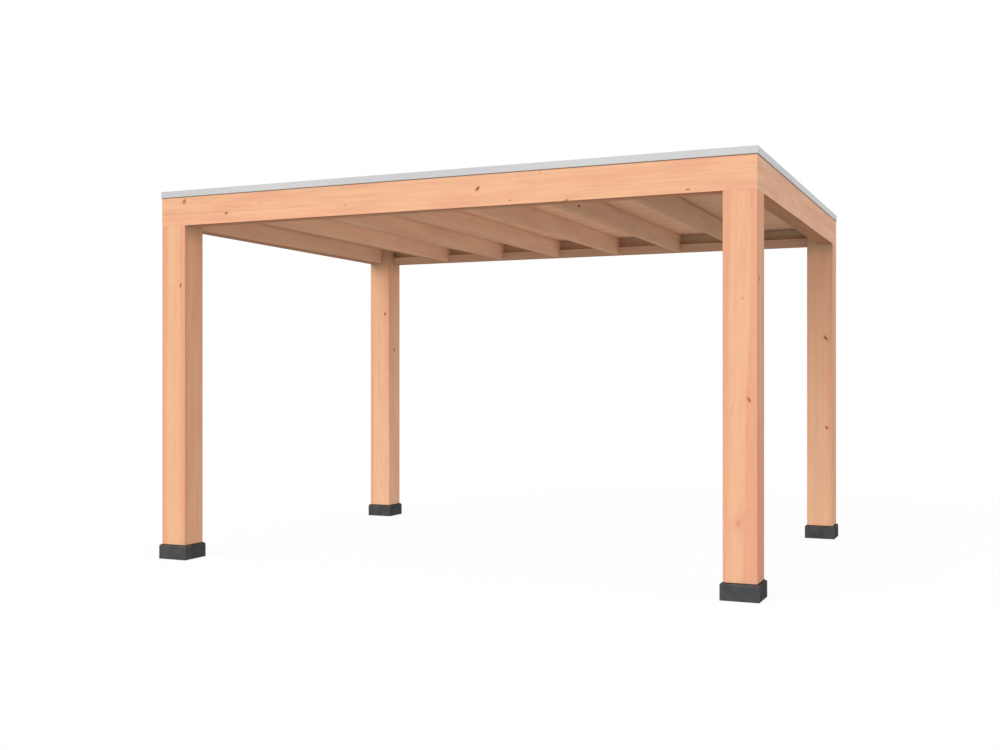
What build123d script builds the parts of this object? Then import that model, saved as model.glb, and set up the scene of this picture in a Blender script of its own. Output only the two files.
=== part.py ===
"""Free-standing timber patio cover with a flat roof.

Four heavy posts on concrete footings carry a ring of planks that lies flush with the posts' outer
faces. Rafters run from front to rear inside the ring, bear on a ledger at each end, and carry the
boarded roof deck, a rubber membrane and the metal trims along the roof's edges.

Millimetres, +Z up. The origin is on the ground under the middle of the frame, and the front faces -Y.
"""

import os

from build123d import *

os.makedirs("parts", exist_ok=True)

# Timber frame, over the outer faces of the posts, and from the ground to the underside of the planks
frame_width = 4120
frame_depth = 3090
headroom = 2302

# Concrete footings, with a bevelled top edge that sheds water
footing_height = 102
footing_overhang = 15
footing_bevel_height = 10
footing_bevel_width = 12

# Square posts
post_side = 195

# Ring of planks round the roof, and how far it stands up above the deck
beam_thickness = 45
parapet_height = 62

# Ledgers inside the front and rear planks, and joists inside the side planks
ledger_width = 70
ledger_height = 58
edge_joist_width = 70

# Rafters and the boarded deck that they carry
rafter_count = 6
rafter_width = 45
rafter_height = 140
deck_thickness = 18

# Rubber membrane, turned up inside the planks and down over them, with an edge showing under the trims
membrane_thickness = 2
membrane_show = 5

# Folded metal edge trim: face, nose and the flange that lies on the planks
trim_gauge = 2.5
trim_face_height = 43
trim_rise = 19
trim_nose_width = 14
trim_nose_radius = 2
trim_flange_width = 30

# Heights that follow
beam_height = rafter_height + deck_thickness + parapet_height
beam_top = headroom + beam_height
deck_underside = headroom + rafter_height
deck_top = deck_underside + deck_thickness
membrane_top = beam_top + membrane_thickness
trim_top = membrane_top + trim_rise
trim_bottom = trim_top - trim_face_height

# Plan sizes that follow: inside the planks, and inside the ledgers and edge joists
inner_width = frame_width - 2 * beam_thickness
inner_depth = frame_depth - 2 * beam_thickness
joist_clear_width = inner_width - 2 * edge_joist_width
ledger_clear_depth = inner_depth - 2 * ledger_width

# The post's tenon stands beside the ledger and the edge joist, and fills the inner corner
tenon_width = post_side - beam_thickness - edge_joist_width
tenon_depth = post_side - beam_thickness - ledger_width

STANDING = (Align.CENTER, Align.CENTER, Align.MIN)
CORNERS = {
    "front_left": (-1, -1),
    "front_right": (1, -1),
    "rear_left": (-1, 1),
    "rear_right": (1, 1),
}
OUTWARD = {
    "front": Vector(0, -1, 0),
    "rear": Vector(0, 1, 0),
    "left": Vector(-1, 0, 0),
    "right": Vector(1, 0, 0),
}
UP = Vector(0, 0, 1)


def write(piece, name):
    """Labels a finished piece and writes it to its own file."""
    piece.part.label = name
    export_step(piece.part, f"parts/{name}.step")


def side_length(outward):
    """Length of one side of the ring, from corner to corner."""
    return frame_depth if outward.X else frame_width


def side_middle(outward):
    """Middle of one side's outer face, on the ground."""
    return Vector(outward.X * frame_width / 2, outward.Y * frame_depth / 2, 0)


def section_plane(outward):
    """Plane across one side of the ring: its x runs outward from the planks' face, its y runs up."""
    return Plane(origin=side_middle(outward), x_dir=outward, z_dir=outward.cross(UP))


def mitre_planes(outward):
    """The 45 degree planes through the two corners of one side, facing away from its piece."""
    along = outward.cross(UP)
    for end in (-1, 1):
        corner = side_middle(outward) + along * (end * side_length(outward) / 2)
        yield Plane(origin=corner, z_dir=along * end - outward)


# Footings
footing_side = post_side + 2 * footing_overhang
footing_top_side = footing_side - 2 * footing_bevel_width
footing_face_height = footing_height - footing_bevel_height
post_centre_x = frame_width / 2 - post_side / 2
post_centre_y = frame_depth / 2 - post_side / 2

for corner, (side_x, side_y) in CORNERS.items():
    centre = (side_x * post_centre_x, side_y * post_centre_y)
    with BuildPart() as footing:
        with BuildSketch():
            with Locations(centre):
                Rectangle(footing_side, footing_side)
        extrude(amount=footing_face_height)
        with BuildSketch(Plane.XY.offset(footing_face_height)):
            with Locations(centre):
                Rectangle(footing_side, footing_side)
        with BuildSketch(Plane.XY.offset(footing_height)):
            with Locations(centre):
                Rectangle(footing_top_side, footing_top_side)
        loft()
    write(footing, f"{corner}_footing")

# Posts, notched at the top so that planks, ledger and joist sit on their shoulders
tenon_centre_x = frame_width / 2 - post_side + tenon_width / 2
tenon_centre_y = frame_depth / 2 - post_side + tenon_depth / 2

for corner, (side_x, side_y) in CORNERS.items():
    with BuildPart() as post:
        with Locations((side_x * post_centre_x, side_y * post_centre_y, footing_height)):
            Box(post_side, post_side, headroom - footing_height, align=STANDING)
        with Locations((side_x * tenon_centre_x, side_y * tenon_centre_y, headroom)):
            Box(tenon_width, tenon_depth, rafter_height, align=STANDING)
    write(post, f"{corner}_post")

# Ring of planks, mitred at the corners
for side, outward in OUTWARD.items():
    with BuildPart() as beam:
        with BuildSketch(section_plane(outward)):
            with Locations((-beam_thickness / 2, headroom + beam_height / 2)):
                Rectangle(beam_thickness, beam_height)
        extrude(amount=side_length(outward), both=True)
        for end_plane in mitre_planes(outward):
            split(bisect_by=end_plane, keep=Keep.BOTTOM)
    write(beam, f"{side}_beam")

# Ledgers along the foot of the front and rear planks
ledger_centre_y = inner_depth / 2 - ledger_width / 2

for side in ("front", "rear"):
    with BuildPart() as ledger:
        with Locations((0, OUTWARD[side].Y * ledger_centre_y, headroom)):
            Box(joist_clear_width, ledger_width, ledger_height, align=STANDING)
    write(ledger, f"{side}_ledger")

# Edge joists along the side planks
edge_joist_centre_x = inner_width / 2 - edge_joist_width / 2

for side in ("left", "right"):
    with BuildPart() as edge_joist:
        with Locations((OUTWARD[side].X * edge_joist_centre_x, 0, headroom)):
            Box(edge_joist_width, inner_depth, rafter_height, align=STANDING)
    write(edge_joist, f"{side}_edge_joist")

# Rafters, evenly spaced between the posts and notched over the ledgers
rafter_pitch = (frame_width - 2 * post_side) / (rafter_count + 1)
rafter_bearing_height = rafter_height - ledger_height

for number in range(1, rafter_count + 1):
    rafter_x = -frame_width / 2 + post_side + number * rafter_pitch
    with BuildPart() as rafter:
        with Locations((rafter_x, 0, headroom)):
            Box(rafter_width, ledger_clear_depth, rafter_height, align=STANDING)
        with Locations((rafter_x, 0, headroom + ledger_height)):
            Box(rafter_width, inner_depth, rafter_bearing_height, align=STANDING)
    write(rafter, f"rafter_{number}")

# Boarded deck on the rafters
with BuildPart() as roof_deck:
    with Locations((0, 0, deck_underside)):
        Box(inner_width, inner_depth, deck_thickness, align=STANDING)
write(roof_deck, "roof_deck")

# Membrane: a floor on the deck, and three rings that line the planks' inner face, top and outer face
wrap = 2 * membrane_thickness
membrane_rings = (
    ((inner_width, inner_depth), (inner_width - wrap, inner_depth - wrap), deck_top),
    ((frame_width + wrap, frame_depth + wrap), (inner_width - wrap, inner_depth - wrap), beam_top),
    ((frame_width + wrap, frame_depth + wrap), (frame_width, frame_depth), trim_bottom - membrane_show),
)

with BuildPart() as roof_membrane:
    with Locations((0, 0, deck_top)):
        Box(inner_width, inner_depth, membrane_thickness, align=STANDING)
    for outer_size, clear_size, ring_bottom in membrane_rings:
        with BuildSketch(Plane.XY.offset(ring_bottom)):
            Rectangle(*outer_size)
            Rectangle(*clear_size, mode=Mode.SUBTRACT)
        extrude(amount=membrane_top - ring_bottom)
write(roof_membrane, "roof_membrane")

# Edge trims, folded from one strip and mitred at the corners
trim_face = membrane_thickness + trim_gauge
nose_back = trim_face - trim_nose_width
flange_end = nose_back - trim_flange_width
flange_top = membrane_top + trim_gauge
nose_underside = trim_top - trim_gauge
trim_outline = (
    (trim_face, trim_bottom),
    (trim_face, trim_top),
    (nose_back, trim_top),
    (nose_back, flange_top),
    (flange_end, flange_top),
    (flange_end, membrane_top),
    (nose_back + trim_gauge, membrane_top),
    (nose_back + trim_gauge, nose_underside),
    (membrane_thickness, nose_underside),
    (membrane_thickness, trim_bottom),
)

for side, outward in OUTWARD.items():
    with BuildPart() as trim:
        with BuildSketch(section_plane(outward)) as section:
            with BuildLine():
                Polyline(*trim_outline, close=True)
            make_face()
            fillet(section.vertices().group_by(Axis.Y)[-1], radius=trim_nose_radius)
        extrude(amount=side_length(outward), both=True)
        for end_plane in mitre_planes(outward):
            split(bisect_by=end_plane, keep=Keep.BOTTOM)
    write(trim, f"{side}_trim")
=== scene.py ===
"""Looks of the wooden patio cover: its finishes, roof boards and screws, a floor, lamps and a camera."""

import math
import random

import bpy
from mathutils import Matrix, Vector


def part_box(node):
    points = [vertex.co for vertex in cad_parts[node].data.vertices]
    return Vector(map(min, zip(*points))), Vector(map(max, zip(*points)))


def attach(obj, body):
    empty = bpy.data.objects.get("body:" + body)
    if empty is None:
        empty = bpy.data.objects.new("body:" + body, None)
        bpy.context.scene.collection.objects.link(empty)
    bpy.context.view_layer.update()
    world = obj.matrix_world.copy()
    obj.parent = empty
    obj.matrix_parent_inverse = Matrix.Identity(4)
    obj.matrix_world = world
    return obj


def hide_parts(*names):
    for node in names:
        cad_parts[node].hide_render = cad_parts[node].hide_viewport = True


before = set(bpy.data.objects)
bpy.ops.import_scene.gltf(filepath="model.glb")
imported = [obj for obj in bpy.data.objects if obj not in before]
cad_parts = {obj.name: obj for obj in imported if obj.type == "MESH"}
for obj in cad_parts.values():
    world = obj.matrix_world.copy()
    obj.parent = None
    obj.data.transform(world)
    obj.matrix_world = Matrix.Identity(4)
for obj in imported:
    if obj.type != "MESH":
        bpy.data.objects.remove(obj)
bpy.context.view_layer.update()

# Camera, from the photograph's perspective: a level view from the front, right of the middle
IMAGE_WIDTH = 1000
IMAGE_HEIGHT = 750
FOCAL_LENGTH_PX = 1189.45
HORIZON_ROW = 380.4
CAMERA_PLACE = (3.397, -8.172, 1.236)
CAMERA_TURN = math.radians(23.613)
SENSOR_WIDTH = 36

# Light levels: on the object's front they add up to about 1, at which a colour shows as it is written
SKY_LEVEL = 0.45
FLOOR_LEVEL = 0.53

# Each lamp's level, colour, direction and softness in degrees
LAMPS = {
    "key": (0.585, (1.0, 0.985, 0.96), (0.3, 0.87, -0.45), 55),
    "side": (0.25, (0.95, 0.98, 1.0), (-0.9, 0.25, -0.2), 50),
    "rear": (0.2, (1.0, 1.0, 1.0), (0, -1, -0.15), 50),
}

# Sky and floor colours, how bright and how shadowed the floor looks to the eye, and its reach in metres
WHITE = (1, 1, 1)
SKY_COLOUR = (0.97, 0.985, 1.0)
FLOOR_COLOUR = (0.96, 0.96, 0.96)
FLOOR_GLOW = 1.03
FLOOR_SHADOW_SHARE = 0.1
FLOOR_REACH = 60

# Timber colours, in linear light
PALE_WOOD = (0.9, 0.51, 0.305)
ROSY_WOOD = (0.84, 0.405, 0.26)
LATE_WOOD = (0.7, 0.33, 0.185)
RESIN = (0.5, 0.2, 0.08)
KNOT_RIM = (0.45, 0.165, 0.075)
KNOT_HEART = (0.13, 0.05, 0.025)

# What the timbers' tints make of those colours, with painted light and painted shade in most of them
PLANED = Vector((1.0, 1.0, 1.0))
# The rear posts' paler, greyer tints are painted light
POST_TINTS = {
    "front_left": Vector((0.98, 0.985, 0.98)),
    "front_right": Vector((0.99, 0.985, 0.985)),
    "rear_left": Vector((1.05, 1.105, 1.145)),
    "rear_right": Vector((0.995, 1.035, 1.06)),
}
# Painted light in the right beam's and the roof timbers' paler, greyer tints, and painted shade in the
# ledgers' darker tint
RIGHT_BEAM = Vector((1.06, 1.145, 1.26))
RAFTER = Vector((0.965, 1.235, 1.43))
EDGE_JOIST = Vector((0.88, 1.13, 1.31))
LEDGER = Vector((0.74, 0.93, 1.08))
ROOF_BOARD = Vector((0.97, 1.06, 1.13))
# Tints of single sides: painted shade on the undersides and on the posts' heads, painted light on the beams'
# inner sides
RING_UNDERSIDE_SHADE = Vector((0.53, 0.49, 0.47))
LEDGER_UNDERSIDE_SHADE = Vector((0.64, 0.61, 0.59))
RAFTER_UNDERSIDE_SHADE = Vector((0.83, 0.87, 0.86))
BEAM_BACK_PAINTED_LIGHT = Vector((0.78, 1.19, 1.43))
POST_HEAD_SHADE = Vector((0.62, 0.81, 0.85))

# Painted shade: the roof boards' tones from the roof's middle to its right end, and the edge joists' upper
# edges' tone
BOARD_SHADE_TONES = (1.1, 0.8)
EDGE_JOIST_TOP_SHADE = 0.74

# Each rafter's tone, darker towards the right as painted shade, and the painted-shade tones of its upper edge
# and its underside
RAFTER_SHADE_TONES = (
    (1.04, 0.9, 0.74),
    (1.02, 0.88, 0.9),
    (1.03, 0.86, 1.02),
    (0.99, 0.86, 1.05),
    (0.91, 0.84, 0.98),
    (0.85, 0.66, 0.86),
)

# Depth of the painted shade along the upper edges, and how far below and above their shoulders the posts'
# painted shade reaches, in metres
TOP_SHADE_DEPTH = 0.028
HEAD_SHADE_BELOW = 0.14
HEAD_SHADE_ABOVE = 0.06

# Width of the rings, how strongly they and the rosy zones show, and how far from the pith the rosy sapwood
# starts, in metres: out of a plank's reach, and for each post at its own distance
NO_SAPWOOD = 1.0
POST_GRAIN = {"Ring Width": 0.0065, "Ring Contrast": 0.22, "Rosy Zones": 0.35}
PLANK_GRAIN = {"Ring Width": 0.0115, "Ring Contrast": 0.72, "Rosy Zones": 0.7, "Rosy From": NO_SAPWOOD}
ROOF_GRAIN = {"Ring Width": 0.0065, "Ring Contrast": 0.22, "Rosy Zones": 0.5, "Rosy From": NO_SAPWOOD}

# How far each post's pith lies right of and behind its middle, how far it leans to the right on each metre
# upward, and how far from it the rosy sapwood starts, in metres
POST_PITHS = {
    "front_left": (0.004, 0.012, 0.0, 0.118),
    "front_right": (-0.008, 0.006, 0.015, 0.107),
    "rear_left": (0.004, 0.004, 0.0, 0.122),
    "rear_right": (-0.01, -0.002, 0.0, 0.12),
}

# The way from the middle of each beam, ledger and edge joist to its pith, in metres
BEAM_PITHS = {
    "front": (0, 0.11, 0.2),
    "rear": (0, -0.09, 0.17),
    "left": (0.1, 0, 0.18),
    "right": (-0.12, 0, 0.19),
}
LEDGER_PITH = (0, 0.05, 0.12)
EDGE_JOIST_PITH = (0.03, 0, 0.12)

# Ranges that the rafters' piths are drawn from, and the most that a pith leans on each metre, in metres
RAFTER_PITH_ASIDE = (0.05, 0.1)
RAFTER_PITH_RISE = (-0.05, 0.06)
RAFTER_LEAN = 0.008
BEAM_LEAN = 0.006

# Seeds of the random draws, and of the grain: that of each kind's first timber and the step to the next
POST_DRAWS = 11
BEAM_DRAWS = 23
RAFTER_DRAWS = 37
GRAIN_SEEDS = {
    "post": (3.0, 2.3),
    "beam": (20.0, 3.1),
    "ledger": (41.0, 2.7),
    "edge_joist": (46.0, 2.7),
    "rafter": (60.0, 1.9),
}

# Eased edges, in metres, and the angle from which an edge is eased
POST_EASE = 0.003
PLANK_EASE = 0.0015
JOIST_EASE = 0.002
FOOTING_EASE = 0.003
WELD_REACH = 0.00005
EASE_ANGLE = math.radians(40)
EASE_STEPS = 3

# Directions: turns that lay a timber's length along an axis, and the way that each side looks
UP = Vector((0, 0, 1))
ALONG_X = (0, 0, 0)
ALONG_Y = (0, 0, math.pi / 2)
ALONG_Z = (0, -math.pi / 2, 0)
LENGTH_AXIS = {ALONG_X: (1, 0, 0), ALONG_Y: (0, 1, 0), ALONG_Z: (0, 0, 1)}
FACING = {
    "front": Vector((0, -1, 0)),
    "rear": Vector((0, 1, 0)),
    "left": Vector((-1, 0, 0)),
    "right": Vector((1, 0, 0)),
    "under": Vector((0, 0, -1)),
}
OPPOSITE = {"front": "rear", "rear": "front", "left": "right", "right": "left"}
SIDES = ("front", "rear", "left", "right")
LONG_SIDES = ("front", "rear")
HIDDEN_SIDES = ("left", "rear")
CORNERS = ("front_left", "front_right", "rear_left", "rear_right")

# Kinds of sockets, and the sockets of a colour mix, whose names repeat
NUMBER = "NodeSocketFloat"
VECTOR = "NodeSocketVector"
COLOUR = "NodeSocketColor"
GEOMETRY = "NodeSocketGeometry"
MIX_SHARE = 0
MIX_FIRST = 6
MIX_SECOND = 7
MIX_RESULT = 2


def fill(tree, node, inputs):
    """Sets or links a node's inputs, by name or number."""
    for key, value in inputs.items():
        if isinstance(value, bpy.types.NodeSocket):
            tree.links.new(value, node.inputs[key])
        else:
            node.inputs[key].default_value = value
    return node


def add_node(tree, kind, inputs=None, **settings):
    """Adds a node, sets its options, and sets or links its inputs."""
    node = tree.nodes.new(kind)
    for name, value in settings.items():
        setattr(node, name, value)
    return fill(tree, node, inputs or {})


def maths(tree, operation, *values, clamp=False):
    """A sum of numbers or sockets."""
    node = add_node(tree, "ShaderNodeMath", dict(enumerate(values)), operation=operation, use_clamp=clamp)
    return node.outputs[0]


def product(tree, *values):
    """Numbers or sockets multiplied together."""
    result = values[0]
    for value in values[1:]:
        result = maths(tree, "MULTIPLY", result, value)
    return result


def vector_maths(tree, operation, *values):
    """A sum of vectors or sockets."""
    node = add_node(tree, "ShaderNodeVectorMath", dict(enumerate(values)), operation=operation)
    return node.outputs["Value" if operation in ("LENGTH", "DOT_PRODUCT") else "Vector"]


def combine(tree, x=0.0, y=0.0, z=0.0):
    """A vector from three numbers or sockets."""
    return add_node(tree, "ShaderNodeCombineXYZ", {"X": x, "Y": y, "Z": z}).outputs[0]


def spread(tree, value, source, target=(0.0, 1.0)):
    """Maps one range of a value smoothly onto another range."""
    inputs = {
        "Value": value, "From Min": source[0], "From Max": source[1],
        "To Min": target[0], "To Max": target[1],
    }
    return add_node(tree, "ShaderNodeMapRange", inputs, interpolation_type="SMOOTHSTEP").outputs[0]


def noise(tree, vector, scale=1.0, detail=2.0, roughness=0.5):
    """Soft noise from 0 to 1."""
    inputs = {"Vector": vector, "Scale": scale, "Detail": detail, "Roughness": roughness}
    return add_node(tree, "ShaderNodeTexNoise", inputs).outputs["Fac"]


def as_colour(value):
    """A socket as it is, or three numbers as an opaque colour."""
    return value if isinstance(value, bpy.types.NodeSocket) else (*value, 1)


def blend(tree, share, first, second):
    """Mixes two colours, with so much of the second."""
    inputs = {MIX_SHARE: share, MIX_FIRST: as_colour(first), MIX_SECOND: as_colour(second)}
    return add_node(tree, "ShaderNodeMix", inputs, data_type="RGBA").outputs[MIX_RESULT]


def object_place(tree):
    """Place on the piece, in metres in the model's own frame."""
    return add_node(tree, "ShaderNodeTexCoord").outputs["Object"]


def new_tree(kind, name, inputs, outputs):
    """A node tree with named sockets, what it is given, and its end node."""
    tree = bpy.data.node_groups.new(name, kind)
    for socket, socket_kind in outputs.items():
        tree.interface.new_socket(socket, in_out="OUTPUT", socket_type=socket_kind)
    for socket, socket_kind in inputs.items():
        tree.interface.new_socket(socket, in_out="INPUT", socket_type=socket_kind)
    return tree, tree.nodes.new("NodeGroupInput").outputs, tree.nodes.new("NodeGroupOutput")


def emptied_tree(owner):
    """The node tree of a material or a world, with nothing in it."""
    owner.use_nodes = True
    owner.node_tree.nodes.clear()
    return owner.node_tree


def new_material(name):
    """A material, its tree, and its shader, wired to the output."""
    material = bpy.data.materials.new(name)
    tree = emptied_tree(material)
    shader = tree.nodes.new("ShaderNodeBsdfPrincipled")
    add_node(tree, "ShaderNodeOutputMaterial", {"Surface": shader.outputs[0]})
    return material, tree, shader


def add_bump(tree, shader, height, strength, distance):
    """Gives a shader fine relief."""
    bump = add_node(tree, "ShaderNodeBump", {"Strength": strength, "Distance": distance, "Height": height})
    fill(tree, shader, {"Normal": bump.outputs[0]})


def add_object(name, data):
    """A new object in the scene."""
    thing = bpy.data.objects.new(name, data)
    bpy.context.scene.collection.objects.link(thing)
    return thing


# Knots: how deep they show, in metres, how ragged they are, their edge from rim to heart in half lengths, and
# how far the grain swells round them
KNOT_DEPTH = 0.03
KNOT_RAG_WAVES = 170.0
KNOT_RAG = 1.1
KNOT_RAG_LEAST = 0.45
KNOT_EDGE = (1.25, 0.35)
KNOT_SWELL = 0.8
KNOT_SWELL_FALLOFF = 0.22


def knot_group():
    """One knot in a face: an oval with a dark heart and a reddish rim, and the grain that swells round it."""
    inputs = {
        "Place": VECTOR, "Centre": VECTOR, "Long": VECTOR, "Cross": VECTOR, "Outward": VECTOR,
        "Size": NUMBER, "Strength": NUMBER, "Heart": NUMBER, "Swell": NUMBER,
    }
    tree, put, end = new_tree("ShaderNodeTree", "knot", inputs, {"Heart": NUMBER, "Swell": NUMBER})
    offset = vector_maths(tree, "SUBTRACT", put["Place"], put["Centre"])
    along = vector_maths(tree, "DOT_PRODUCT", offset, put["Long"])
    across = vector_maths(tree, "DOT_PRODUCT", offset, put["Cross"])
    reach = vector_maths(tree, "LENGTH", combine(tree, along, across))
    depth = maths(tree, "ABSOLUTE", vector_maths(tree, "DOT_PRODUCT", offset, put["Outward"]))
    near = spread(tree, depth, (KNOT_DEPTH, KNOT_DEPTH / 2))
    ragged = noise(tree, put["Place"], KNOT_RAG_WAVES)
    ragged = maths(tree, "MULTIPLY_ADD", ragged, KNOT_RAG, KNOT_RAG_LEAST)
    body = spread(tree, product(tree, reach, ragged), KNOT_EDGE)
    heart = product(tree, body, near, put["Strength"])
    falloff = maths(tree, "POWER", math.e, product(tree, reach, reach, -KNOT_SWELL_FALLOFF))
    swell = product(tree, falloff, near, put["Size"], KNOT_SWELL)
    fill(tree, end, {
        "Heart": maths(tree, "MAXIMUM", heart, put["Heart"]),
        "Swell": maths(tree, "ADD", swell, put["Swell"]),
    })
    return tree


# Grain sizes, in metres
PITH_WANDER = 0.012
LONG_RIPPLE = 0.022
SHORT_RIPPLE = 0.014
SAPWOOD_EDGE = 0.012
GRAIN_RELIEF = 0.0006

# Waves of the grain's noises on a metre along the timber and across it
PITH_WAVES = (0.8, 0.0)
LONG_RIPPLE_WAVES = (0.8, 5.0)
SHORT_RIPPLE_WAVES = (9.0, 16.0)
RING_FADE_WAVES = (1.5, 12.0)
ROSY_ZONE_WAVES = (2.2, 14.0)
RESIN_WAVES = (9.0, 210.0)
FIBRE_WAVES = (9.0, 420.0)
STREAK_WAVES = (0.7, 50.0)

# Rings: how they crowd along the radius, the strength of the weakest, and the parts of a ring over which its
# late wood comes and goes
CROWDING_WAVES = 38.0
CROWDED_RINGS = 3.0
WEAKEST_RING = 0.25
LATE_WOOD_COMES = (0.5, 0.9)
LATE_WOOD_GOES = (1.0, 0.93)

# How far a seed shifts the noises on each axis, and how far it moves the draws for single rings
SEED_SHIFT = (1.0, 1.7, 0.6)
RING_SEED_STEP = 13.0

# Strengths of the rosy sapwood, of resin and of streaks, and the range of the fibres' tones
SAPWOOD_ROSE = 0.9
RESIN_SHARE = 0.3
STREAK_TONE = 0.03
FIBRE_TONES = (0.97, 1.03)

# Shares of the relief that fibres and late wood have, and the roughness of the wood and of its fibres
FIBRE_HEIGHT = 0.35
LATE_WOOD_HEIGHT = 0.5
WOOD_ROUGHNESS = 0.55
FIBRE_ROUGHNESS = 0.16


def stretched(tree, put, waves):
    """Noise coordinates with so many waves on a metre along a timber and across it, shifted by its seed."""
    along, across = waves
    waved = vector_maths(tree, "MULTIPLY", put["Position"], (along, across, across))
    shift = vector_maths(tree, "MULTIPLY", put["Seed"], SEED_SHIFT)
    return vector_maths(tree, "ADD", waved, shift)


def stem_radius(tree, put):
    """How far a place lies from the pith, which wanders, among rings that ripple and swell."""
    inputs = {"Vector": stretched(tree, put, PITH_WAVES), "Scale": 1.0, "Detail": 1.0}
    sway = add_node(tree, "ShaderNodeTexNoise", inputs).outputs["Color"]
    sway = vector_maths(tree, "SUBTRACT", sway, (0.5, 0.5, 0.5))
    sway = vector_maths(tree, "MULTIPLY", sway, (0, 2 * PITH_WANDER, 2 * PITH_WANDER))
    place = vector_maths(tree, "ADD", put["Position"], sway)
    radius = vector_maths(tree, "LENGTH", vector_maths(tree, "MULTIPLY", place, (0, 1, 1)))
    for waves, size in ((LONG_RIPPLE_WAVES, LONG_RIPPLE), (SHORT_RIPPLE_WAVES, SHORT_RIPPLE)):
        ripple = maths(tree, "SUBTRACT", noise(tree, stretched(tree, put, waves)), 0.5)
        radius = maths(tree, "ADD", radius, product(tree, ripple, size))
    return maths(tree, "ADD", radius, put["Swell"])


def late_wood(tree, put, radius):
    """Rings of uneven width and strength, each pale at first and darker at its end, that fade in and out."""
    crowding = noise(tree, combine(tree, product(tree, radius, CROWDING_WAVES), put["Seed"]))
    turns = maths(tree, "DIVIDE", radius, put["Ring Width"])
    turns = maths(tree, "MULTIPLY_ADD", crowding, CROWDED_RINGS, turns)
    part = maths(tree, "FRACT", turns)
    count = maths(tree, "ADD", maths(tree, "FLOOR", turns), product(tree, put["Seed"], RING_SEED_STEP))
    chance = add_node(tree, "ShaderNodeTexWhiteNoise", {"W": count}, noise_dimensions="1D").outputs["Value"]
    strength = maths(tree, "MULTIPLY_ADD", chance, 1 - WEAKEST_RING, WEAKEST_RING)
    fade = spread(tree, noise(tree, stretched(tree, put, RING_FADE_WAVES)), (0.34, 0.68), (0.06, 1.0))
    late = product(tree, spread(tree, part, LATE_WOOD_COMES), spread(tree, part, LATE_WOOD_GOES))
    return product(tree, late, strength, fade)


def grain_group():
    """Sawn softwood round its pith: growth rings, colour zones, fibres, resin streaks and knots."""
    inputs = {
        "Position": VECTOR, "Seed": NUMBER, "Heart": NUMBER, "Swell": NUMBER, "Tint": COLOUR,
        "Ring Width": NUMBER, "Ring Contrast": NUMBER, "Rosy Zones": NUMBER, "Rosy From": NUMBER,
    }
    outputs = {"Colour": COLOUR, "Height": NUMBER, "Roughness": NUMBER}
    tree, put, end = new_tree("ShaderNodeTree", "softwood grain", inputs, outputs)
    radius = stem_radius(tree, put)
    late = late_wood(tree, put, radius)

    # Pale and rosy zones, the rosy sapwood far from the pith, the rings and the resin
    zone = spread(tree, noise(tree, stretched(tree, put, ROSY_ZONE_WAVES), detail=3.0), (0.38, 0.66))
    sapwood = maths(tree, "SUBTRACT", radius, put["Rosy From"])
    sapwood = maths(tree, "DIVIDE", sapwood, SAPWOOD_EDGE, clamp=True)
    sapwood = product(tree, sapwood, SAPWOOD_ROSE)
    rosy = maths(tree, "MAXIMUM", product(tree, zone, put["Rosy Zones"]), sapwood)
    colour = blend(tree, rosy, PALE_WOOD, ROSY_WOOD)
    colour = blend(tree, product(tree, late, put["Ring Contrast"]), colour, LATE_WOOD)
    resin = noise(tree, stretched(tree, put, RESIN_WAVES), detail=0.0)
    colour = blend(tree, spread(tree, resin, (0.76, 0.86), (0.0, RESIN_SHARE)), colour, RESIN)

    # Fine fibres and streaks along the length, and the timber's tint
    fibre = noise(tree, stretched(tree, put, FIBRE_WAVES), detail=3.0, roughness=0.65)
    streak = noise(tree, stretched(tree, put, STREAK_WAVES))
    streak = spread(tree, streak, (0.3, 0.7), (-STREAK_TONE, STREAK_TONE))
    value = maths(tree, "ADD", spread(tree, fibre, (0.25, 0.75), FIBRE_TONES), streak)
    colour = vector_maths(tree, "MULTIPLY", colour, put["Tint"])
    colour = vector_maths(tree, "MULTIPLY", colour, value)

    # Knots over all of it, and the relief, in which fibres and late wood stand up and knots lie lower
    colour = blend(tree, spread(tree, put["Heart"], (0.0, 0.55)), colour, KNOT_RIM)
    colour = blend(tree, spread(tree, put["Heart"], (0.5, 1.0)), colour, KNOT_HEART)
    relief = maths(tree, "MULTIPLY_ADD", fibre, FIBRE_HEIGHT, product(tree, late, LATE_WOOD_HEIGHT))
    fill(tree, end, {
        "Colour": colour,
        "Height": maths(tree, "SUBTRACT", relief, put["Heart"]),
        "Roughness": maths(tree, "MULTIPLY_ADD", fibre, FIBRE_ROUGHNESS, WOOD_ROUGHNESS),
    })
    return tree


KNOT = knot_group()
GRAIN = grain_group()

# How squarely a surface looks to a side before it takes that side's tint, as cosines
SIDE_COSINES = (0.4, 0.8)


def timber_finish(tree, shader, inputs):
    """Wires softwood grain to a shader."""
    grain = fill(tree, add_node(tree, "ShaderNodeGroup", node_tree=GRAIN), inputs).outputs
    fill(tree, shader, {
        "Base Color": grain["Colour"], "Roughness": grain["Roughness"], "Specular IOR Level": 0.0,
    })
    add_bump(tree, shader, grain["Height"], strength=0.35, distance=GRAIN_RELIEF)


def facing(tree, side):
    """1 where a surface looks to one side, and 0 where it looks elsewhere."""
    normal = add_node(tree, "ShaderNodeNewGeometry").outputs["Normal"]
    return spread(tree, vector_maths(tree, "DOT_PRODUCT", normal, FACING[side]), SIDE_COSINES)


def face_tint(tree, tint, painted_sides):
    """A timber's tint, with other tints on some of its sides: painted shade on undersides and painted light
    on inner sides.
    """
    for side, painted_tint in painted_sides.items():
        tint = blend(tree, facing(tree, side), tint, painted_tint)
    return tint


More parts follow.
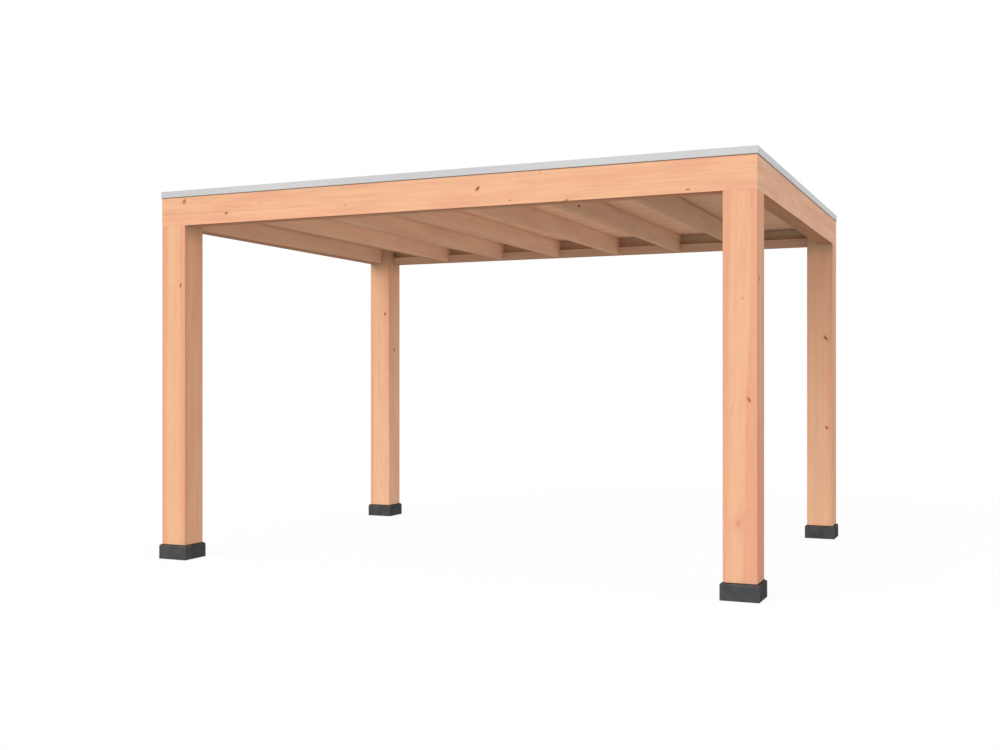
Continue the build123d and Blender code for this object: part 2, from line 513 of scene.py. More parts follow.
def shaded_above(tree, place, tint, start, end, dark, sides=()):
    """A timber's tint, with painted shade between two heights, on all of its sides or on two of them."""
    height = add_node(tree, "ShaderNodeSeparateXYZ", {0: place}).outputs["Z"]
    share = spread(tree, height, (start, end))
    if sides:
        share = product(tree, share, maths(tree, "MAXIMUM", *(facing(tree, side) for side in sides)))
    return blend(tree, share, tint, dark)


def dress(node, material):
    """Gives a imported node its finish."""
    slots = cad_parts[node].data.materials
    slots.clear()
    slots.append(material)


def timber(node, along, pith, seed, grain, lean=(0, 0, 0), knots=(), tint=PLANED, painted_sides=None, shade=None):
    """The finish of one timber, sawn along an axis from a stem whose pith passes through a point."""
    material, tree, shader = new_material(f"timber of {node}")
    place = object_place(tree)
    turn = tuple(a + b for a, b in zip(along, lean))
    inputs = {"Vector": place, "Location": pith, "Rotation": turn}
    position = add_node(tree, "ShaderNodeMapping", inputs, vector_type="TEXTURE").outputs[0]
    heart, swell = 0.0, 0.0
    for knot_inputs in knots:
        inputs = {"Place": place, "Heart": heart, "Swell": swell, **knot_inputs}
        group = fill(tree, add_node(tree, "ShaderNodeGroup", node_tree=KNOT), inputs)
        heart, swell = group.outputs["Heart"], group.outputs["Swell"]
    tint = face_tint(tree, tint, painted_sides or {})
    if shade:
        tint = shaded_above(tree, place, tint, **shade)
    inputs = {"Position": position, "Seed": seed, "Heart": heart, "Swell": swell, "Tint": as_colour(tint)}
    timber_finish(tree, shader, {**inputs, **grain})
    dress(node, material)


def knot(point, side, length, width, slant, darkness):
    """A knot at a point of a face, with its length, width, slant from the level in degrees and darkness."""
    outward = FACING[side]
    turn = Matrix.Rotation(math.radians(slant), 3, outward)
    long_axis = turn @ outward.cross(UP)
    cross_axis = outward.cross(long_axis)
    return {
        "Centre": point, "Long": long_axis / (length / 2), "Cross": cross_axis / (width / 2),
        "Outward": outward, "Size": width / 2, "Strength": darkness,
    }


def on_face(node, side, point):
    """Moves a point square onto one face of a timber's box."""
    low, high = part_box(node)
    for axis, out in enumerate(FACING[side]):
        if out:
            point[axis] = high[axis] if out > 0 else low[axis]
    return point


# Random knots: how many on a timber, the share of its box that they keep clear of at each end, their lengths
# in metres, their widths as shares of those, their slants in degrees and their darkness
POST_KNOTS = 5
BEAM_KNOTS = 6
RAFTER_KNOTS = 2
KNOT_MARGIN = 0.12
KNOT_LENGTHS = (0.018, 0.04)
KNOT_WIDTHS = (0.5, 0.9)
KNOT_SLANTS = (-50, 50)
KNOT_DARKNESS = (0.4, 0.8)


def scattered_knots(chance, node, sides, count):
    """Small knots at random places on those faces of a timber that the photograph doesn't show."""
    low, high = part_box(node)
    bands = [(a + KNOT_MARGIN * (b - a), b - KNOT_MARGIN * (b - a)) for a, b in zip(low, high)]
    for _ in range(count):
        side = chance.choice(sides)
        point = on_face(node, side, Vector([chance.uniform(*band) for band in bands]))
        length = chance.uniform(*KNOT_LENGTHS)
        width = length * chance.uniform(*KNOT_WIDTHS)
        slant = chance.uniform(*KNOT_SLANTS)
        yield knot(point, side, length, width, slant, chance.uniform(*KNOT_DARKNESS))


# Knots that the photograph shows: side, metres from the timber's left or front end and from its lower end,
# length, width, slant and darkness
SEEN_KNOTS = {
    "front_beam": (
        ("front", 0.19, 0.165, 0.048, 0.034, 50, 0.44),
        ("front", 0.54, 0.065, 0.03, 0.017, 5, 0.64),
        ("front", 2.41, 0.11, 0.044, 0.022, 48, 0.66),
        ("front", 2.625, 0.025, 0.034, 0.012, 8, 0.32),
        ("front", 2.99, 0.005, 0.038, 0.012, 8, 0.44),
        ("front", 3.725, 0.02, 0.032, 0.01, 5, 0.62),
        ("front", 1.47, 0.065, 0.04, 0.02, 15, 0.2),
        ("front", 0.82, 0.11, 0.04, 0.03, 0, 0.14),
        ("front", 2.825, 0.185, 0.04, 0.016, 60, 0.22),
    ),
    "front_left_post": (("front", 0.158, 1.79, 0.036, 0.018, 85, 0.62),),
    "front_right_post": (
        ("front", 0.112, 1.595, 0.026, 0.02, 30, 0.24),
        ("front", 0.149, 1.025, 0.038, 0.019, 120, 0.56),
        ("front", 0.09, 0.335, 0.05, 0.034, 60, 0.15),
        ("right", 0.06, 1.705, 0.042, 0.02, 90, 0.6),
    ),
    "rear_left_post": (
        ("front", 0.151, 1.74, 0.04, 0.02, 90, 0.56),
        ("right", 0.095, 1.415, 0.036, 0.028, 90, 0.52),
        ("front", 0.092, 1.05, 0.04, 0.02, 10, 0.1),
    ),
    "rear_right_post": (
        ("front", 0.143, 1.465, 0.046, 0.023, 125, 0.72),
        ("front", 0.15, 0.765, 0.04, 0.018, 122, 0.64),
    ),
    "rafter_5": (("right", 0.475, 0.045, 0.05, 0.02, 10, 0.72),),
}


def seen_knots(node):
    """Knots of one timber that the photograph shows."""
    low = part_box(node)[0]
    for side, across, up, *form in SEEN_KNOTS.get(node, ()):
        point = on_face(node, side, low + Vector((across, across, up)))
        yield knot(point, side, *form)


# Cosine from which an edge counts as running along a timber
LENGTHWISE_COSINE = 0.999


def arris_tree():
    """Marks a timber's long arrises, so that only they are eased and its saw cuts stay crisp."""
    inputs = {"Geometry": GEOMETRY, "Along": VECTOR, "Sharper Than": NUMBER}
    tree, put, end = new_tree("GeometryNodeTree", "long arrises", inputs, {"Geometry": GEOMETRY})
    ends = add_node(tree, "GeometryNodeInputMeshEdgeVertices").outputs
    line = vector_maths(tree, "SUBTRACT", ends["Position 2"], ends["Position 1"])
    line = vector_maths(tree, "NORMALIZE", line)
    lengthwise = maths(tree, "ABSOLUTE", vector_maths(tree, "DOT_PRODUCT", line, put["Along"]))
    lengthwise = maths(tree, "GREATER_THAN", lengthwise, LENGTHWISE_COSINE)
    angle = add_node(tree, "GeometryNodeInputMeshEdgeAngle").outputs["Unsigned Angle"]
    sharp = maths(tree, "GREATER_THAN", angle, put["Sharper Than"])
    weight = product(tree, lengthwise, sharp)
    inputs = {"Geometry": put["Geometry"], "Name": "bevel_weight_edge", "Value": weight}
    marked = add_node(tree, "GeometryNodeStoreNamedAttribute", inputs, data_type="FLOAT", domain="EDGE")
    fill(tree, end, {"Geometry": marked.outputs[0]})
    return tree


ARRISES = arris_tree()


def set_inputs(modifier, values):
    """Sets a geometry modifier's inputs by their names."""
    for item in modifier.node_group.interface.items_tree:
        if item.item_type == "SOCKET" and item.in_out == "INPUT" and item.name in values:
            modifier[item.identifier] = values[item.name]


def ease_edges(node, width, along=None):
    """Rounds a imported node's arrises: those along its length, or all of them."""
    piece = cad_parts[node]
    piece.modifiers.new("joined faces", "WELD").merge_threshold = WELD_REACH
    if along is not None:
        marks = piece.modifiers.new("long arrises", "NODES")
        marks.node_group = ARRISES
        set_inputs(marks, {"Along": LENGTH_AXIS[along], "Sharper Than": EASE_ANGLE})
    ease = piece.modifiers.new("eased edges", "BEVEL")
    ease.width = width
    ease.segments = EASE_STEPS
    ease.limit_method = "ANGLE" if along is None else "WEIGHT"
    ease.angle_limit = EASE_ANGLE


def middle(node):
    """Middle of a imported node's box."""
    low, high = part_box(node)
    return (low + high) / 2


def grain_seed(kind, number):
    """Seed of one timber's grain, by its kind and its number among them."""
    first, step = GRAIN_SEEDS[kind]
    return first + number * step


def joint_shade(node, tint, shade_tone):
    """Painted shade along the upper edge of a timber that carries the roof boards."""
    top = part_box(node)[1].z
    return {"start": top - TOP_SHADE_DEPTH, "end": top, "dark": tint * shade_tone}


def head_shade(corner):
    """Painted shade on a post's head and tenon, on its two inner sides."""
    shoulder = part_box("front_beam")[0].z
    inner_sides = [OPPOSITE[side] for side in corner.split("_")]
    return {
        "start": shoulder - HEAD_SHADE_BELOW, "end": shoulder + HEAD_SHADE_ABOVE,
        "dark": POST_HEAD_SHADE, "sides": inner_sides,
    }


def dress_posts():
    """Boxed-heart posts: the pith runs up inside each of them, and the sapwood shows near the arrises."""
    chance = random.Random(POST_DRAWS)
    for number, corner in enumerate(CORNERS):
        node = f"{corner}_post"
        right, behind, lean, sapwood = POST_PITHS[corner]
        pith = middle(node) + Vector((right, behind, 0))
        seed = grain_seed("post", number)
        grain = {**POST_GRAIN, "Rosy From": sapwood}
        knots = [*seen_knots(node), *scattered_knots(chance, node, HIDDEN_SIDES, POST_KNOTS)]
        # Painted shade on each post's head and tenon
        shade = head_shade(corner)
        timber(node, ALONG_Z, pith, seed, grain, (0, lean, 0), knots, POST_TINTS[corner], shade=shade)
        ease_edges(node, POST_EASE, ALONG_Z)


def dress_beams():
    """Flat-sawn planks, with painted shade on their undersides and painted light on their inner sides."""
    chance = random.Random(BEAM_DRAWS)
    for number, side in enumerate(SIDES):
        node = f"{side}_beam"
        along = ALONG_X if side in LONG_SIDES else ALONG_Y
        pith = middle(node) + Vector(BEAM_PITHS[side])
        lean = (0, chance.uniform(-BEAM_LEAN, BEAM_LEAN), 0)
        knots = list(seen_knots(node))
        if side in HIDDEN_SIDES:
            knots += scattered_knots(chance, node, (side,), BEAM_KNOTS)
        # Painted light in the right beam's paler tint and on the greyer inner sides, painted shade on the
        # undersides
        tint = RIGHT_BEAM if side == "right" else PLANED
        painted_sides = {"under": RING_UNDERSIDE_SHADE, OPPOSITE[side]: BEAM_BACK_PAINTED_LIGHT}
        timber(node, along, pith, grain_seed("beam", number), PLANK_GRAIN, lean, knots, tint, painted_sides)
        ease_edges(node, PLANK_EASE, along)


def dress_ledgers():
    """Strips along the foot of the front and rear planks."""
    for number, side in enumerate(LONG_SIDES):
        node = f"{side}_ledger"
        pith = middle(node) + Vector(LEDGER_PITH)
        # Painted shade in the ledgers' darker tint and on their undersides
        painted_sides = {"under": LEDGER_UNDERSIDE_SHADE}
        timber(node, ALONG_X, pith, grain_seed("ledger", number), ROOF_GRAIN, tint=LEDGER, painted_sides=painted_sides)
        ease_edges(node, JOIST_EASE, ALONG_X)


def dress_edge_joists():
    """Joists along the left and right planks."""
    for number, side in enumerate(("left", "right")):
        node = f"{side}_edge_joist"
        pith = middle(node) + Vector(EDGE_JOIST_PITH)
        seed = grain_seed("edge_joist", number)
        # Painted shade on the undersides and along the upper edge, painted light in the greyer tint
        painted_sides = {"under": RING_UNDERSIDE_SHADE}
        shade = joint_shade(node, EDGE_JOIST, EDGE_JOIST_TOP_SHADE)
        timber(node, ALONG_Y, pith, seed, ROOF_GRAIN, tint=EDGE_JOIST, painted_sides=painted_sides, shade=shade)
        ease_edges(node, JOIST_EASE, ALONG_Y)


def dress_rafters():
    """Rafters sawn beside the pith."""
    chance = random.Random(RAFTER_DRAWS)
    for number, (shade_tone, top_shade_tone, under_shade_tone) in enumerate(RAFTER_SHADE_TONES, 1):
        node = f"rafter_{number}"
        aside = chance.choice((-1, 1)) * chance.uniform(*RAFTER_PITH_ASIDE)
        pith = middle(node) + Vector((aside, 0, chance.uniform(*RAFTER_PITH_RISE)))
        lean = (0, 0, chance.uniform(-RAFTER_LEAN, RAFTER_LEAN))
        knots = [*seen_knots(node), *scattered_knots(chance, node, ("left",), RAFTER_KNOTS)]
        # Painted shade: darker towards the right, on the undersides and along the upper edges; painted light
        # in the greyer tint
        tint = RAFTER * shade_tone
        painted_sides = {"under": RAFTER_UNDERSIDE_SHADE * under_shade_tone}
        shade = joint_shade(node, tint, top_shade_tone)
        timber(node, ALONG_Y, pith, grain_seed("rafter", number), ROOF_GRAIN, lean, knots, tint, painted_sides, shade)
        ease_edges(node, JOIST_EASE, ALONG_Y)


# Concrete: its colours in linear light, its pits a metre and how dark they are, its relief in metres, and the
# share of that relief that the sand has
CONCRETE_DARK = (0.06, 0.0605, 0.061)
CONCRETE_PALE = (0.088, 0.088, 0.088)
CONCRETE_SAND = (0.12, 0.12, 0.119)
CONCRETE_WORN = (0.13, 0.13, 0.129)
CONCRETE_PIT = (0.018, 0.018, 0.018)
# Painted contact shadow round the post
CONCRETE_CONTACT_SHADOW = (0.05, 0.031, 0.02)
PIT_CELLS = 95.0
PIT_SHARE = 0.7
CONCRETE_RELIEF = 0.0012
SAND_HEIGHT = 0.5


def concrete():
    """Cast anthracite concrete: cloudy, finely pitted, paler along its arrises, with a painted contact shadow
    round the post.
    """
    material, tree, shader = new_material("anthracite concrete")
    low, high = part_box("front_right_footing")
    half = (high.x - low.x) / 2
    centre = (low + high) / 2
    place = object_place(tree)
    axes = add_node(tree, "ShaderNodeSeparateXYZ", {0: place}).outputs

    def from_centre(axis, centre_distance):
        """Distance from a footing's middle along an axis, as a share of its half width."""
        offset = maths(tree, "SUBTRACT", maths(tree, "ABSOLUTE", axes[axis]), abs(centre_distance))
        return maths(tree, "DIVIDE", maths(tree, "ABSOLUTE", offset), half)

    out_x, out_y = from_centre("X", centre.x), from_centre("Y", centre.y)
    cloud = noise(tree, place, scale=14.0, detail=5.0, roughness=0.6)
    sand = noise(tree, place, scale=420.0, detail=3.0, roughness=0.7)
    upright = spread(tree, maths(tree, "MINIMUM", out_x, out_y), (0.93, 0.99))
    rim = spread(tree, maths(tree, "DIVIDE", axes["Z"], high.z), (0.84, 0.92))
    patchy = spread(tree, cloud, (0.35, 0.65), (0.1, 0.55))
    worn = product(tree, maths(tree, "MAXIMUM", upright, rim), patchy)
    # Painted contact shadow on the top, round the post
    contact_shadow = product(tree, spread(tree, maths(tree, "MAXIMUM", out_x, out_y), (0.97, 0.9)), rim)
    cells = add_node(tree, "ShaderNodeTexVoronoi", {"Vector": place, "Scale": PIT_CELLS}, feature="F1")
    sparse = spread(tree, noise(tree, place, scale=22.0), (0.4, 0.62), (0.3, 0.0))
    pit = spread(tree, maths(tree, "ADD", cells.outputs["Distance"], sparse), (0.16, 0.08))

    colour = blend(tree, spread(tree, cloud, (0.3, 0.7)), CONCRETE_DARK, CONCRETE_PALE)
    colour = blend(tree, spread(tree, sand, (0.45, 0.75), (0.0, 0.4)), colour, CONCRETE_SAND)
    colour = blend(tree, worn, colour, CONCRETE_WORN)
    colour = blend(tree, product(tree, pit, PIT_SHARE), colour, CONCRETE_PIT)
    colour = blend(tree, contact_shadow, colour, CONCRETE_CONTACT_SHADOW)
    roughness = spread(tree, sand, (0.2, 0.8), (0.8, 0.95))
    fill(tree, shader, {"Base Color": colour, "Roughness": roughness, "Specular IOR Level": 0.0})
    relief = maths(tree, "SUBTRACT", product(tree, sand, SAND_HEIGHT), pit)
    add_bump(tree, shader, relief, strength=0.5, distance=CONCRETE_RELIEF)
    return material


def dress_footings():
    """Concrete footings with softened arrises."""
    material = concrete()
    for corner in CORNERS:
        dress(f"{corner}_footing", material)
        ease_edges(f"{corner}_footing", FOOTING_EASE)


# Rubber: its colours in linear light, its relief and where the painted shadow on its edge starts and is full,
# in metres, and the share of that relief that the grit has
RUBBER_BLACK = (0.045, 0.045, 0.047)
RUBBER_DUST = (0.085, 0.084, 0.081)
RUBBER_GRIT = (0.13, 0.128, 0.124)
# Brown painted shadow of the trim on the rubber's outer edge
RUBBER_EDGE_SHADOW = (0.25, 0.165, 0.11)
RUBBER_RELIEF = 0.008
EDGE_SHADOW_BAND = (-0.001, -0.0005)
GRIT_HEIGHT = 0.04


def rubber():
    """Black roofing sheet: faint wrinkles, dust and dried puddles, and a brown painted shadow of the trim on
    its outer edge.
    """
    material, tree, shader = new_material("roofing rubber")
    place = object_place(tree)
    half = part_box("roof_membrane")[1]
    axes = add_node(tree, "ShaderNodeSeparateXYZ", {0: vector_maths(tree, "ABSOLUTE", place)}).outputs
    beyond_x = maths(tree, "SUBTRACT", axes["X"], half.x)
    beyond_y = maths(tree, "SUBTRACT", axes["Y"], half.y)
    # Painted shadow on the outer edge
    edge_shadow = spread(tree, maths(tree, "MAXIMUM", beyond_x, beyond_y), EDGE_SHADOW_BAND)
    dust = noise(tree, place, scale=2.2, detail=6.0, roughness=0.6)
    grit = noise(tree, place, scale=260.0, detail=2.0, roughness=0.7)
    wrinkle = noise(tree, place, scale=3.5, detail=3.0)
    colour = blend(tree, spread(tree, dust, (0.45, 0.75)), RUBBER_BLACK, RUBBER_DUST)
    colour = blend(tree, spread(tree, grit, (0.62, 0.8), (0.0, 0.4)), colour, RUBBER_GRIT)
    colour = blend(tree, edge_shadow, colour, RUBBER_EDGE_SHADOW)
    roughness = spread(tree, dust, (0.3, 0.7), (0.5, 0.78))
    fill(tree, shader, {"Base Color": colour, "Roughness": roughness})
    relief = maths(tree, "MULTIPLY_ADD", grit, GRIT_HEIGHT, wrinkle)
    add_bump(tree, shader, relief, strength=0.5, distance=RUBBER_RELIEF)
    return material


# Trim metal: its colours in linear light, how metallic it is, the waves of its drawing lines on a metre along
# the strip and across it, and its relief in metres
TRIM_DULL = (0.56, 0.561, 0.564)
TRIM_BRIGHT = (0.625, 0.626, 0.628)
TRIM_LINE = (0.53, 0.532, 0.535)
TRIM_METALLIC = 0.35
DRAWN_ALONG = 2.0
DRAWN_ACROSS = 900.0
TRIM_RELIEF = 0.0002


def trim_metal(name, waves):
    """Satin aluminium with drawing lines along the strip, which have so many waves a metre on each axis."""
    material, tree, shader = new_material(name)
    place = object_place(tree)
    line = noise(tree, vector_maths(tree, "MULTIPLY", place, waves), detail=3.0, roughness=0.6)
    cloud = noise(tree, place, scale=1.1)
    colour = blend(tree, spread(tree, cloud, (0.3, 0.7)), TRIM_DULL, TRIM_BRIGHT)
    colour = blend(tree, spread(tree, line, (0.35, 0.65), (0.0, 0.2)), colour, TRIM_LINE)
    roughness = spread(tree, line, (0.3, 0.7), (0.38, 0.52))
    fill(tree, shader, {"Base Color": colour, "Roughness": roughness, "Metallic": TRIM_METALLIC})
    add_bump(tree, shader, line, strength=0.05, distance=TRIM_RELIEF)
    return material


def dress_roof_edge():
    """Membrane and trims."""
    dress("roof_membrane", rubber())
    lengthwise = trim_metal("trim metal drawn lengthwise", (DRAWN_ALONG, DRAWN_ACROSS, DRAWN_ACROSS))
    sideways = trim_metal("trim metal drawn sideways", (DRAWN_ACROSS, DRAWN_ALONG, DRAWN_ACROSS))
    for side in SIDES:
        dress(f"{side}_trim", lengthwise if side in LONG_SIDES else sideways)


ROW_INPUTS = {"Count": "NodeSocketInt", "First": VECTOR, "Pitch": VECTOR, "Finish": "NodeSocketMaterial"}


def copies_in_row(tree, put, shape):
    """Copies of a shape in a straight row."""
    inputs = {"Count": put["Count"], "Start Location": put["First"], "Offset": put["Pitch"]}
    places = add_node(tree, "GeometryNodeMeshLine", inputs).outputs[0]
    return add_node(tree, "GeometryNodeInstanceOnPoints", {"Points": places, "Instance": shape}).outputs[0]


def finish_tree(tree, end, geometry, material):
    """Makes copies real, gives them their finish and ends a geometry tree."""
    whole = add_node(tree, "GeometryNodeRealizeInstances", {"Geometry": geometry})
    finished = add_node(tree, "GeometryNodeSetMaterial", {"Geometry": whole.outputs[0], "Material": material})
    fill(tree, end, {"Geometry": finished.outputs[0]})


def grow(name, tree, values):
    """Runs a geometry tree with these inputs and keeps its result as a plain mesh piece."""
    holder = add_object(f"{name}_growing", bpy.data.meshes.new(f"{name}_empty"))
    modifier = holder.modifiers.new("growing", "NODES")
    modifier.node_group = tree
    set_inputs(modifier, values)
    bpy.context.view_layer.update()
    mesh = bpy.data.meshes.new_from_object(holder.evaluated_get(bpy.context.evaluated_depsgraph_get()))
    mesh.name = name
    bpy.data.objects.remove(holder)
    return add_object(name, mesh)


# Roof boards: their cover, chamfers and gaps, where their piths lie and how long their stem is, in metres,
# the step between their seeds, and how far their tones stray
BOARD_COVER = 0.145
BOARD_CHAMFER = 0.0012
BOARD_GAP = 0.0004
BOARD_PITH_ASIDE = 0.06
BOARD_PITH_DEPTH = 0.05
BOARD_PITH_RANGE = 0.08
BOARD_STEM_LENGTH = 40.0
BOARD_SEED_STEP = 1.37
BOARD_TONE_STRAY = 0.04


def board_tree():
    """Boards side by side, each with chamfered long edges and its own number."""
    inputs = {"Length": NUMBER, "Width": NUMBER, "Thickness": NUMBER, "Chamfer": NUMBER, **ROW_INPUTS}
    tree, put, end = new_tree("GeometryNodeTree", "roof boards", inputs, {"Geometry": GEOMETRY})
    half = product(tree, put["Length"], 0.5)
    ends = {"Start": combine(tree, product(tree, half, -1.0)), "End": combine(tree, half)}
    path = add_node(tree, "GeometryNodeCurvePrimitiveLine", ends).outputs[0]
    size = {"Width": put["Width"], "Height": put["Thickness"]}
    section = add_node(tree, "GeometryNodeCurvePrimitiveQuadrilateral", size).outputs[0]
    rounding = {"Curve": section, "Radius": put["Chamfer"]}
    section = add_node(tree, "GeometryNodeFilletCurve", rounding, mode="POLY").outputs[0]
    shape = {"Curve": path, "Profile Curve": section, "Fill Caps": True}
    board = add_node(tree, "GeometryNodeCurveToMesh", shape).outputs[0]
    boards = copies_in_row(tree, put, board)
    number = add_node(tree, "GeometryNodeInputIndex").outputs[0]
    inputs = {"Geometry": boards, "Name": "board_number", "Value": number}
    numbered = add_node(tree, "GeometryNodeStoreNamedAttribute", inputs, data_type="FLOAT", domain="INSTANCE")
    finish_tree(tree, end, numbered.outputs[0], put["Finish"])
    return tree


def board_finish(first_y, pitch, underside):
    """Softwood boards, each cut from another part of a stem."""
    material, tree, shader = new_material("roof board softwood")
    place = add_node(tree, "ShaderNodeSeparateXYZ", {0: object_place(tree)}).outputs
    number = add_node(tree, "ShaderNodeAttribute", attribute_name="board_number").outputs["Fac"]
    chance = add_node(tree, "ShaderNodeTexWhiteNoise", {"W": number}, noise_dimensions="1D").outputs
    draw = add_node(tree, "ShaderNodeSeparateColor", {0: chance["Color"]}).outputs

    # Where a place on a board lies in the stem
    along = maths(tree, "MULTIPLY_ADD", draw[2], BOARD_STEM_LENGTH, place["X"])
    across = maths(tree, "SUBTRACT", place["Y"], maths(tree, "MULTIPLY_ADD", number, pitch, first_y))
    aside = maths(tree, "MULTIPLY_ADD", draw[0], 2 * BOARD_PITH_ASIDE, -BOARD_PITH_ASIDE)
    above = maths(tree, "SUBTRACT", place["Z"], underside)
    depth = maths(tree, "MULTIPLY_ADD", draw[1], BOARD_PITH_RANGE, BOARD_PITH_DEPTH)
    position = combine(tree, along, maths(tree, "ADD", across, aside), maths(tree, "ADD", above, depth))

    # The board's tint, greyer as painted light, and the roof's painted shade from its middle to its right end
    low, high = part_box("roof_deck")
    shade_tone = spread(tree, place["X"], ((low.x + high.x) / 2, high.x), BOARD_SHADE_TONES)
    stray = maths(tree, "MULTIPLY_ADD", chance["Value"], 2 * BOARD_TONE_STRAY, 1 - BOARD_TONE_STRAY)
    tint = vector_maths(tree, "MULTIPLY", ROOF_BOARD, product(tree, shade_tone, stray))
    seed = product(tree, number, BOARD_SEED_STEP)
    timber_finish(tree, shader, {"Position": position, "Seed": seed, "Tint": tint, **ROOF_GRAIN})
    return material


def lay_boards():
    """Roof boards in place of the plain deck, running across the rafters."""
    low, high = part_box("roof_deck")
    size = high - low
    count = round(size.y / BOARD_COVER)
    pitch = size.y / count
    first = Vector(((low.x + high.x) / 2, low.y + pitch / 2, (low.z + high.z) / 2))
    boards = grow("roof_boards", board_tree(), {
        "Length": size.x, "Width": pitch - BOARD_GAP, "Thickness": size.z, "Chamfer": BOARD_CHAMFER,
        "Count": count, "First": first, "Pitch": Vector((0, pitch, 0)),
        "Finish": board_finish(first.y, pitch, low.z),
    })
    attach(boards, "root")
    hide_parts("roof_deck")


# The trims' screws and the flanges that they sit on, in metres, the shape of a head as shares of its height
# and radius, and the steel's colours in linear light
SCREW_PITCH = 0.4
SCREW_RADIUS = 0.0055
SCREW_HEIGHT = 0.0028
TRIM_GAUGE = 0.0025
TRIM_FLANGE_WIDTH = 0.030
SCREW_SIDES = 14
SCREW_RIM_SHARE = 0.6
SCREW_SHOULDER_SHARE = 0.82
SCREW_FLAT_SHARE = 0.45
STEEL_DULL = (0.5, 0.5, 0.5)
STEEL_BRIGHT = (0.66, 0.66, 0.65)


def screw_tree():
    """Low round screw heads in a row."""
    inputs = {"Radius": NUMBER, "Height": NUMBER, **ROW_INPUTS}
    tree, put, end = new_tree("GeometryNodeTree", "trim screws", inputs, {"Geometry": GEOMETRY})
    rim = product(tree, put["Height"], SCREW_RIM_SHARE)
    crown = product(tree, put["Height"], 1 - SCREW_RIM_SHARE)
    shoulder = product(tree, put["Radius"], SCREW_SHOULDER_SHARE)
    flat = product(tree, put["Radius"], SCREW_FLAT_SHARE)

    def drum(bottom, top, depth):
        """A round drum that narrows towards its top."""
        size = {"Vertices": SCREW_SIDES, "Radius Top": top, "Radius Bottom": bottom, "Depth": depth}
        return add_node(tree, "GeometryNodeMeshCone", size).outputs[0]

    lower = drum(put["Radius"], shoulder, rim)
    raised = {"Geometry": drum(shoulder, flat, crown), "Translation": combine(tree, z=rim)}
    upper = add_node(tree, "GeometryNodeTransform", raised).outputs[0]
    head = add_node(tree, "GeometryNodeJoinGeometry")
    for part in (lower, upper):
        tree.links.new(part, head.inputs[0])
    finish_tree(tree, end, copies_in_row(tree, put, head.outputs[0]), put["Finish"])
    return tree


def screw_metal():
    """Bright stainless steel, finely brushed."""
    material, tree, shader = new_material("screw steel")
    brush = noise(tree, object_place(tree), scale=700.0)
    colour = blend(tree, brush, STEEL_DULL, STEEL_BRIGHT)
    roughness = spread(tree, brush, (0.3, 0.7), (0.25, 0.4))
    fill(tree, shader, {"Base Color": colour, "Roughness": roughness, "Metallic": 1.0})
    return material


def drive_screws():
    """Screws along the trims' flanges."""
    tree = screw_tree()
    steel = screw_metal()
    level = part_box("roof_membrane")[1].z + TRIM_GAUGE
    for side in SIDES:
        low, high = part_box(f"{side}_trim")
        lengthwise = side in LONG_SIDES
        inner = {"front": high.y, "rear": low.y, "left": high.x, "right": low.x}[side]
        line = inner + math.copysign(TRIM_FLANGE_WIDTH / 2, inner)
        length = (high.x - low.x) if lengthwise else (high.y - low.y)
        count = math.floor(length / SCREW_PITCH)
        pitch = length / (count + 1)
        start = -length / 2 + pitch
        first = Vector((start, line, level)) if lengthwise else Vector((line, start, level))
        step = Vector((pitch, 0, 0)) if lengthwise else Vector((0, pitch, 0))
        screws = grow(f"{side}_trim_screws", tree, {
            "Radius": SCREW_RADIUS, "Height": SCREW_HEIGHT, "Count": count, "First": first, "Pitch": step,
            "Finish": steel,
        })
        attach(screws, "root")


def seen_directly(tree):
    """1 for rays of the eye, of gloss and through glass, and 0 for the rest."""
    rays = add_node(tree, "ShaderNodeLightPath").outputs
    eye_or_gloss = maths(tree, "MAXIMUM", rays["Is Camera Ray"], rays["Is Glossy Ray"])
    return maths(tree, "MAXIMUM", eye_or_gloss, rays["Is Transmission Ray"])


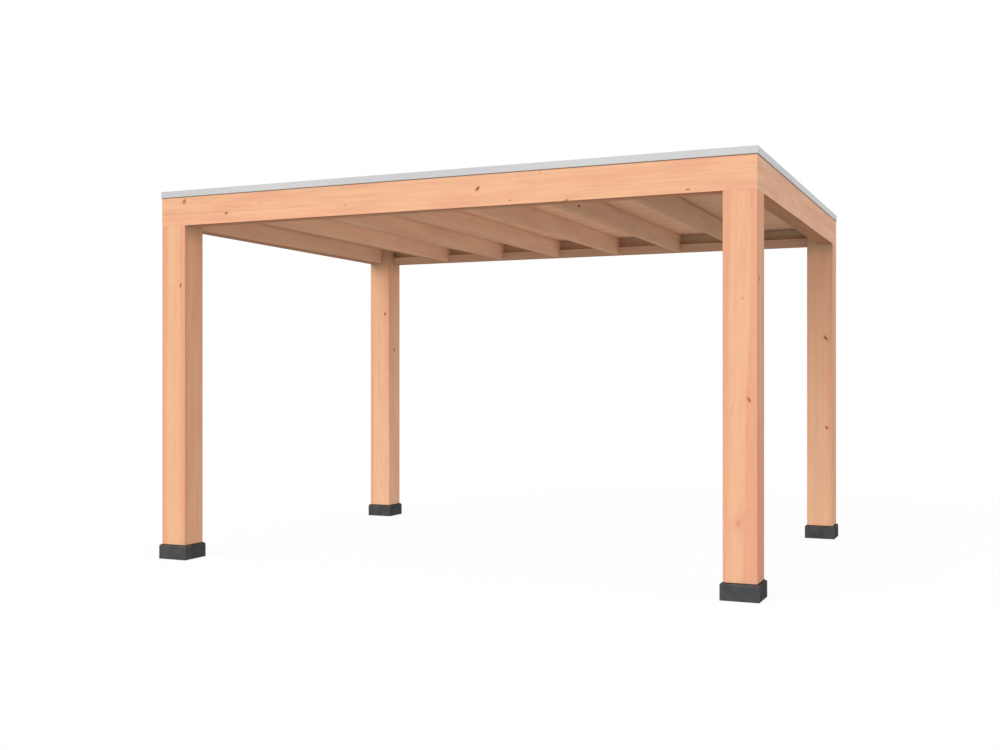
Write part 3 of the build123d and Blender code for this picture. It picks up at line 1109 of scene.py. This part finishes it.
def lay_floor():
    """A plain white floor that fades into the white around it and keeps a faint shadow."""
    mesh = bpy.data.meshes.new("floor")
    corners = [(x * FLOOR_REACH, y * FLOOR_REACH, 0) for x, y in ((-1, -1), (1, -1), (1, 1), (-1, 1))]
    mesh.from_pydata(corners, [], [(0, 1, 2, 3)])
    floor = add_object("floor", mesh)
    material = bpy.data.materials.new("studio floor")
    tree = emptied_tree(material)
    bounce = add_node(tree, "ShaderNodeEmission", {"Color": as_colour(WHITE), "Strength": FLOOR_LEVEL})
    white = add_node(tree, "ShaderNodeBsdfDiffuse", {"Color": as_colour(FLOOR_COLOUR)})
    glow = add_node(tree, "ShaderNodeEmission", {"Color": as_colour(WHITE), "Strength": FLOOR_GLOW})
    shown = {0: FLOOR_SHADOW_SHARE, 1: glow.outputs[0], 2: white.outputs[0]}
    shown = add_node(tree, "ShaderNodeMixShader", shown).outputs[0]
    surface = {0: seen_directly(tree), 1: bounce.outputs[0], 2: shown}
    surface = add_node(tree, "ShaderNodeMixShader", surface).outputs[0]
    add_node(tree, "ShaderNodeOutputMaterial", {"Surface": surface})
    mesh.materials.append(material)


def light_world():
    """White all round to the eye and to gloss, and a soft sky for the rest."""
    world = bpy.data.worlds.new("studio")
    bpy.context.scene.world = world
    tree = emptied_tree(world)
    seen = seen_directly(tree)
    colour = blend(tree, seen, SKY_COLOUR, WHITE)
    levels = {"Value": seen, "To Min": SKY_LEVEL, "To Max": 1.0}
    level = add_node(tree, "ShaderNodeMapRange", levels).outputs[0]
    sky = add_node(tree, "ShaderNodeBackground", {"Color": colour, "Strength": level})
    add_node(tree, "ShaderNodeOutputWorld", {"Surface": sky.outputs[0]})


def hang_lamp(name, level, colour, towards, softness):
    """A far soft lamp that shines along a direction, with its softness in degrees."""
    lamp = bpy.data.lights.new(name, "SUN")
    lamp.energy = level * math.pi
    lamp.color = colour
    lamp.angle = math.radians(softness)
    lamp_object = add_object(name, lamp)
    lamp_object.rotation_euler = Vector(towards).to_track_quat("-Z", "Y").to_euler()
    lamp_object.visible_glossy = False


def set_camera():
    """The photograph's view."""
    lens = bpy.data.cameras.new("photo view")
    lens.sensor_width = SENSOR_WIDTH
    lens.lens = SENSOR_WIDTH * FOCAL_LENGTH_PX / IMAGE_WIDTH
    lens.shift_y = (HORIZON_ROW - IMAGE_HEIGHT / 2) / IMAGE_WIDTH
    camera = add_object("photo view", lens)
    camera.location = CAMERA_PLACE
    camera.rotation_euler = (math.pi / 2, 0, CAMERA_TURN)
    bpy.context.scene.camera = camera


dress_posts()
dress_beams()
dress_ledgers()
dress_edge_joists()
dress_rafters()
dress_footings()
dress_roof_edge()
lay_boards()
drive_screws()

lay_floor()
light_world()
for lamp_name, lamp_form in LAMPS.items():
    hang_lamp(lamp_name, *lamp_form)
set_camera()
bpy.context.scene.view_settings.view_transform = "Standard"
